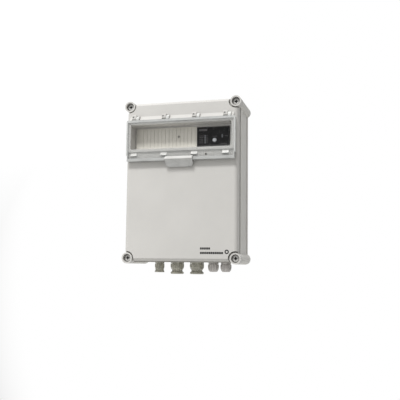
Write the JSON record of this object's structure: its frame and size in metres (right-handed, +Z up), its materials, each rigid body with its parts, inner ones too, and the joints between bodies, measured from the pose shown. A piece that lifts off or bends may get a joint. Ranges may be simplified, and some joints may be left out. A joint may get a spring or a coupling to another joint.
{
  "type": "motor protection breaker",
  "caption": "Wall-mounted motor protection breaker in a grey insulated enclosure with a hinged clear window, a black display panel and cable glands underneath.",
  "frame": {"origin": "centre of the rear face that lies on the wall, midway between the four corner fixing holes", "axes": "+X right, +Y back into the wall, +Z up; the front with the window faces -Y"},
  "size_m": [0.277, 0.141, 0.4001],
  "materials": {
    "enclosure_grey": "light grey moulded plastic with a fine grain",
    "lid_grey": "light grey moulded plastic with a fine grain",
    "clear_window": "clear colourless plastic",
    "gasket_rubber": "soft dark foam rubber",
    "screw_plastic": "light grey hard plastic",
    "strip_grey": "warm grey moulded plastic",
    "fascia_black": "black with a low sheen",
    "button_grey": "light grey",
    "lens_clear": "pale translucent plastic",
    "silicone": "pale silicone",
    "circuit_board": "green laminate",
    "zinc_steel": "zinc plated",
    "screw_steel": "plated screws",
    "device_grey": "dark grey thermoplastic",
    "device_light": "light grey thermoplastic",
    "knob_black": "black",
    "armature_cream": "cream thermoplastic",
    "dial_white": "white",
    "reset_red": "red",
    "terminal_grey": "mid grey thermoplastic",
    "earth_brass": "bare brass",
    "relay_blue": "dark blue",
    "transformer_black": "black potting",
    "terminal_green": "green",
    "gland_grey": "grey nylon",
    "gland_light": "light grey nylon",
    "seal_black": "black rubber"
  },
  "bodies": {
    "enclosure": {"base_shell": "enclosure_grey", "lid_gasket": "gasket_rubber", "breaker_housing": "device_grey", "breaker_terminal_screws": "screw_steel", "contactor_housing": "device_grey", "contactor_terminal_screws": "screw_steel", "overload_relay_housing": "device_grey", "fuse_holder": "device_light", "control_transformer": "device_light", "terminal_blocks": "terminal_grey", "terminal_end_clamps": "device_light", "mounting_plate": "zinc_steel", "plate_screws": "screw_steel", "din_rail_upper": "zinc_steel", "din_rail_lower": "zinc_steel", "rail_screws": "screw_steel", "earth_bar": "earth_brass", "earth_screws": "screw_steel", "control_board": "circuit_board", "board_pillars": "screw_steel", "board_relays": "relay_blue", "board_transformer": "transformer_black", "board_terminals": "terminal_green", "gland_seals": "seal_black", "gland_washers": "seal_black", "gland_locknuts": "gland_grey", "gland_body_1": "gland_grey", "gland_body_2": "gland_grey", "gland_body_3": "gland_grey", "gland_body_4": "gland_light", "gland_body_5": "gland_light"},
    "lid": {"lid_cover": "lid_grey", "window_hinge_brackets": "lid_grey", "window_hinge_screws": "screw_steel", "window_hinge_pins": "screw_steel", "blanking_strip": "strip_grey", "blanking_strip_rivet": "knob_black", "display_fascia": "fascia_black", "display_board": "circuit_board", "led_light_pipes": "lens_clear", "status_lens": "lens_clear", "reset_button_spring": "silicone"},
    "flap": {"window_flap": "clear_window"},
    "panel_button": {"reset_button": "button_grey"},
    "knob": {"breaker_knob": "knob_black"},
    "armature": {"contactor_armature": "armature_cream"},
    "dial": {"overload_dial": "dial_white"},
    "overload_button": {"overload_reset_button": "reset_red"},
    "screw_top_left": {"lid_screw_top_left": "screw_plastic"},
    "screw_top_right": {"lid_screw_top_right": "screw_plastic"},
    "screw_bottom_left": {"lid_screw_bottom_left": "screw_plastic"},
    "screw_bottom_right": {"lid_screw_bottom_right": "screw_plastic"},
    "nut_1": {"gland_nut_1": "gland_grey"},
    "nut_2": {"gland_nut_2": "gland_grey"},
    "nut_3": {"gland_nut_3": "gland_grey"},
    "nut_4": {"gland_nut_4": "gland_light"},
    "nut_5": {"gland_nut_5": "gland_light"}
  },
  "joints": [
    {"name": "lid_lift_off", "type": "slide", "parent": "enclosure", "child": "lid", "axis": [0, -1, 0], "range_m": [0, 0.16]},
    {"name": "window_hinge", "type": "hinge", "parent": "lid", "child": "flap", "pos_m": [0, -0.127, 0.146], "axis": [-1, 0, 0], "range_deg": [0, 120]},
    {"name": "reset_button_press", "type": "slide", "parent": "lid", "child": "panel_button", "axis": [0, 1, 0], "range_m": [0, 0.0015], "stiffness_N_per_m": 800, "springref_m": -0.001, "deforming": ["reset_button_spring"]},
    {"name": "breaker_knob_turn", "type": "hinge", "parent": "enclosure", "child": "knob", "pos_m": [-0.0775, -0.086, 0.1025], "axis": [0, -1, 0], "range_deg": [0, 90]},
    {"name": "contactor_armature_press", "type": "slide", "parent": "enclosure", "child": "armature", "axis": [0, 1, 0], "range_m": [0, 0.004], "stiffness_N_per_m": 1000, "springref_m": -0.002},
    {"name": "overload_dial_turn", "type": "hinge", "parent": "enclosure", "child": "dial", "pos_m": [-0.087, -0.068, -0.078], "axis": [0, 1, 0], "range_deg": [-135, 135]},
    {"name": "overload_reset_press", "type": "slide", "parent": "enclosure", "child": "overload_button", "axis": [0, 1, 0], "range_m": [0, 0.002], "stiffness_N_per_m": 800, "springref_m": -0.001},
    {"name": "lid_screw_turn_top_left", "type": "hinge", "parent": "lid", "child": "screw_top_left", "pos_m": [-0.126, -0.1165, 0.176], "axis": [0, -1, 0], "range_deg": [0, 90]},
    {"name": "lid_screw_turn_top_right", "type": "hinge", "parent": "lid", "child": "screw_top_right", "pos_m": [0.126, -0.1165, 0.176], "axis": [0, -1, 0], "range_deg": [0, 90]},
    {"name": "lid_screw_turn_bottom_left", "type": "hinge", "parent": "lid", "child": "screw_bottom_left", "pos_m": [-0.126, -0.1165, -0.176], "axis": [0, -1, 0], "range_deg": [0, 90]},
    {"name": "lid_screw_turn_bottom_right", "type": "hinge", "parent": "lid", "child": "screw_bottom_right", "pos_m": [0.126, -0.1165, -0.176], "axis": [0, -1, 0], "range_deg": [0, 90]},
    {"name": "gland_nut_turn_1", "type": "hinge", "parent": "enclosure", "child": "nut_1", "pos_m": [-0.073, -0.04, -0.195], "axis": [0, 0, 1], "range_deg": [0, 360]},
    {"name": "gland_nut_turn_2", "type": "hinge", "parent": "enclosure", "child": "nut_2", "pos_m": [-0.0292, -0.04, -0.195], "axis": [0, 0, 1], "range_deg": [0, 360]},
    {"name": "gland_nut_turn_3", "type": "hinge", "parent": "enclosure", "child": "nut_3", "pos_m": [0.0188, -0.04, -0.195], "axis": [0, 0, 1], "range_deg": [0, 360]},
    {"name": "gland_nut_turn_4", "type": "hinge", "parent": "enclosure", "child": "nut_4", "pos_m": [0.0586, -0.04, -0.195], "axis": [0, 0, 1], "range_deg": [0, 360]},
    {"name": "gland_nut_turn_5", "type": "hinge", "parent": "enclosure", "child": "nut_5", "pos_m": [0.0884, -0.04, -0.195], "axis": [0, 0, 1], "range_deg": [0, 360]}
  ]
}
